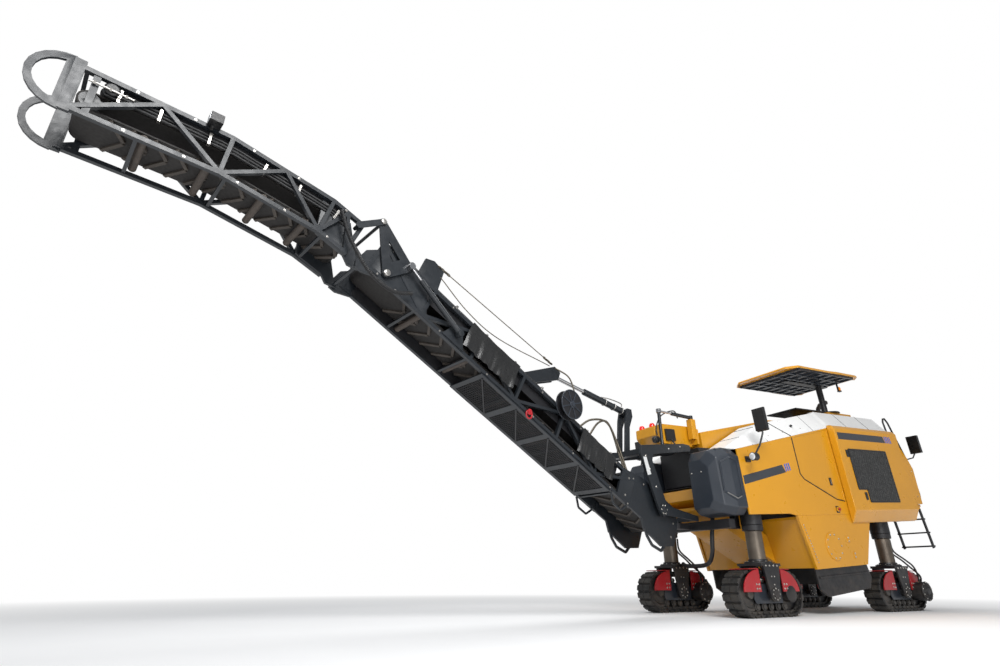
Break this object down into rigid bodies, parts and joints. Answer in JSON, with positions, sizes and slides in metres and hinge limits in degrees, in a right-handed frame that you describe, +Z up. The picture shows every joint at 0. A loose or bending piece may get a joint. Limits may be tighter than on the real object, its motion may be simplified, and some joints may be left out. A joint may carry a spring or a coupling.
{
  "type": "cold planer milling machine",
  "caption": "Front-loading road milling machine on steered crawlers, with a drum housing, a raised operator platform under a canopy and a slewing, folding discharge conveyor.",
  "frame": {"origin": "ground level, at the bottom centre of the machine's bounding box", "axes": "+X forward towards the discharge conveyor, +Y to the machine's left, +Z up"},
  "size_m": [13.7664, 3.2398, 4.2716],
  "materials": {
    "bare_steel": "plain grey metal",
    "belt_rubber": "black rubber",
    "chrome_rod": "polished",
    "frame_black": "black paint",
    "hood_white": "white moulded hood",
    "machine_yellow": "gloss golden yellow paint",
    "slate_grey": "dark slate grey paint",
    "track_steel": "dark worn steel"
  },
  "bodies": {
    "chassis": {"main_frame": "frame_black", "side_panel_left": "machine_yellow", "side_panel_right": "machine_yellow", "front_bumper_left": "slate_grey", "front_bumper_right": "slate_grey", "hood_left": "hood_white", "hood_right": "hood_white", "rear_wall": "machine_yellow", "operator_platform": "frame_black", "control_console": "frame_black", "operator_seat": "frame_black", "canopy_pedestal": "machine_yellow", "engine_block": "bare_steel", "exhaust_pipe": "bare_steel", "centre_tank": "machine_yellow", "drum_housing": "machine_yellow", "feed_conveyor": "machine_yellow", "slew_bracket": "machine_yellow", "front_mirror_left": "frame_black", "front_mirror_right": "frame_black", "rear_handrail_left": "frame_black", "rear_handrail_right": "frame_black"},
    "front_left_leg": {"front_left_leg_yoke": "frame_black", "front_left_track": "track_steel", "front_left_track_frame": "frame_black"},
    "front_right_leg": {"front_right_leg_yoke": "frame_black", "front_right_track": "track_steel", "front_right_track_frame": "frame_black"},
    "rear_left_leg": {"rear_left_leg_yoke": "frame_black", "rear_left_track": "track_steel", "rear_left_track_frame": "frame_black"},
    "rear_right_leg": {"rear_right_leg_yoke": "frame_black", "rear_right_track": "track_steel", "rear_right_track_frame": "frame_black"},
    "drum": {"milling_drum": "track_steel"},
    "side_door_left_body": {"side_door_left": "machine_yellow"},
    "side_door_right_body": {"side_door_right": "machine_yellow"},
    "air_door_left_body": {"air_door_left": "machine_yellow"},
    "air_door_right_body": {"air_door_right": "machine_yellow"},
    "canopy": {"canopy_roof": "machine_yellow", "canopy_post": "slate_grey"},
    "ladder": {"rear_ladder": "frame_black"},
    "slewing_yoke": {"slew_yoke": "slate_grey"},
    "lower_conveyor": {"lower_conveyor_frame": "slate_grey", "lower_belt": "belt_rubber", "belt_guard": "frame_black"},
    "upper_conveyor": {"upper_conveyor_frame": "slate_grey", "upper_belt": "belt_rubber"},
    "rocker": {"fold_rocker": "slate_grey"},
    "link": {"fold_link_left": "slate_grey", "fold_link_right": "slate_grey"},
    "fold_barrels": {"fold_cylinder_barrel_left": "slate_grey", "fold_cylinder_barrel_right": "slate_grey"},
    "fold_rods": {"fold_cylinder_rod_left": "chrome_rod", "fold_cylinder_rod_right": "chrome_rod"},
    "lift_barrel": {"lift_cylinder_barrel": "slate_grey"},
    "lift_rod": {"lift_cylinder_rod": "chrome_rod"},
    "slew_barrel": {"slew_cylinder_barrel": "slate_grey"},
    "slew_rod": {"slew_cylinder_rod": "chrome_rod"},
    "reel": {"hose_reel": "frame_black"}
  },
  "joints": [
    {"name": "steer_front_left", "type": "hinge", "parent": "chassis", "child": "front_left_leg", "pos_m": [-2.1067, 0.5259, 0.6], "axis": [0, 0, 1], "range_deg": [-30, 30]},
    {"name": "steer_front_right", "type": "hinge", "parent": "chassis", "child": "front_right_leg", "pos_m": [-2.1067, -1.0851, 0.6], "axis": [0, 0, 1], "range_deg": [-30, 30]},
    {"name": "steer_rear_left", "type": "hinge", "parent": "chassis", "child": "rear_left_leg", "pos_m": [-5.3837, 0.5259, 0.6], "axis": [0, 0, 1], "range_deg": [-30, 30]},
    {"name": "steer_rear_right", "type": "hinge", "parent": "chassis", "child": "rear_right_leg", "pos_m": [-5.3837, -1.0851, 0.6], "axis": [0, 0, 1], "range_deg": [-30, 30]},
    {"name": "drum_spin", "type": "hinge", "parent": "chassis", "child": "drum", "pos_m": [-3.76742, -0.2796, 0.99624], "axis": [0, 1, 0], "continuous": true},
    {"name": "side_door_left_hinge", "type": "hinge", "parent": "chassis", "child": "side_door_left_body", "pos_m": [-3.15174, 0.7204, 2.50081], "axis": [0.9695, 0, -0.2452], "range_deg": [0, 75]},
    {"name": "side_door_right_hinge", "type": "hinge", "parent": "chassis", "child": "side_door_right_body", "pos_m": [-3.15174, -1.2796, 2.50081], "axis": [-0.9695, 0, 0.2452], "range_deg": [0, 75]},
    {"name": "air_door_left_hinge", "type": "hinge", "parent": "chassis", "child": "air_door_left_body", "pos_m": [-6.22683, 0.7504, 1.40147], "axis": [0.0628, 0, 0.998], "range_deg": [0, 95]},
    {"name": "air_door_right_hinge", "type": "hinge", "parent": "chassis", "child": "air_door_right_body", "pos_m": [-6.22683, -1.3096, 1.40147], "axis": [-0.0628, 0, -0.998], "range_deg": [0, 95]},
    {"name": "canopy_slide", "type": "slide", "parent": "chassis", "child": "canopy", "axis": [0.0628, 0, 0.998], "range_m": [-0.5, 0]},
    {"name": "ladder_hinge", "type": "hinge", "parent": "chassis", "child": "ladder", "pos_m": [-6.67958, 0.3804, 1.69047], "axis": [0, 1, 0], "range_deg": [0, 80]},
    {"name": "conveyor_slew", "type": "hinge", "parent": "chassis", "child": "slewing_yoke", "pos_m": [-1.4067, -0.2796, 2.3], "axis": [0, 0, 1], "range_deg": [-39, 17]},
    {"name": "conveyor_lift", "type": "hinge", "parent": "slewing_yoke", "child": "lower_conveyor", "pos_m": [-0.6214, -0.12695, 1.33], "axis": [-0.1908, 0.9816, 0], "range_deg": [-12, 15]},
    {"name": "conveyor_fold", "type": "hinge", "parent": "lower_conveyor", "child": "upper_conveyor", "pos_m": [4.03896, 0.77893, 3.3562], "axis": [0.1908, -0.9816, 0], "range_deg": [-150, 0]},
    {"name": "rocker_hinge", "type": "hinge", "parent": "lower_conveyor", "child": "rocker", "pos_m": [3.74662, 0.7221, 3.35036], "axis": [0.1908, -0.9816, 0], "range_deg": [-98, 0]},
    {"name": "link_hinge", "type": "hinge", "parent": "rocker", "child": "link", "pos_m": [3.8353, 0.73934, 3.9396], "axis": [0.1908, -0.9816, 0], "range_deg": [0, 36.5]},
    {"name": "fold_barrel_hinge", "type": "hinge", "parent": "lower_conveyor", "child": "fold_barrels", "pos_m": [2.82432, 0.54283, 2.92999], "axis": [0.1908, -0.9816, 0], "range_deg": [-8, 0]},
    {"name": "fold_rod_slide", "type": "slide", "parent": "fold_barrels", "child": "fold_rods", "axis": [0.7364, 0.1431, 0.6612], "range_m": [0, 0.49]},
    {"name": "lift_barrel_hinge", "type": "hinge", "parent": "slewing_yoke", "child": "lift_barrel", "pos_m": [-0.5036, -0.10406, 2.73], "axis": [-0.1908, 0.9816, 0], "range_deg": [-14.6, 18.2]},
    {"name": "lift_rod_slide", "type": "slide", "parent": "lift_barrel", "child": "lift_rod", "axis": [0.9707, 0.1887, 0.1487], "range_m": [-0.29, 0.365]},
    {"name": "slew_barrel_hinge", "type": "hinge", "parent": "chassis", "child": "slew_barrel", "pos_m": [-1.7667, -0.0096, 2.81], "axis": [0, 0, 1], "range_deg": [-20.8, 9.2]},
    {"name": "slew_rod_slide", "type": "slide", "parent": "slew_barrel", "child": "slew_rod", "axis": [0.998, 0.0628, 0], "range_m": [-0.073, 0.165]},
    {"name": "reel_spin", "type": "hinge", "parent": "lower_conveyor", "child": "reel", "pos_m": [1.05831, 0.51535, 2.45704], "axis": [-0.1908, 0.9816, 0], "continuous": true}
  ],
  "couplings": [
    {"joint": "steer_front_right", "follows": "steer_front_left", "ratio": 1},
    {"joint": "steer_rear_right", "follows": "steer_rear_left", "ratio": 1},
    {"joint": "rocker_hinge", "follows": "conveyor_fold", "ratio": 0.648},
    {"joint": "link_hinge", "follows": "conveyor_fold", "ratio": -0.2389},
    {"joint": "fold_barrel_hinge", "follows": "conveyor_fold", "ratio": 0.0495},
    {"joint": "fold_rod_slide", "follows": "conveyor_fold", "m_per_rad": -0.184},
    {"joint": "lift_barrel_hinge", "follows": "conveyor_lift", "ratio": 1.1959},
    {"joint": "lift_rod_slide", "follows": "conveyor_lift", "m_per_rad": 1.3616},
    {"joint": "slew_barrel_hinge", "follows": "conveyor_slew", "ratio": 0.52636},
    {"joint": "slew_rod_slide", "follows": "conveyor_slew", "m_per_rad": -0.23948}
  ]
}
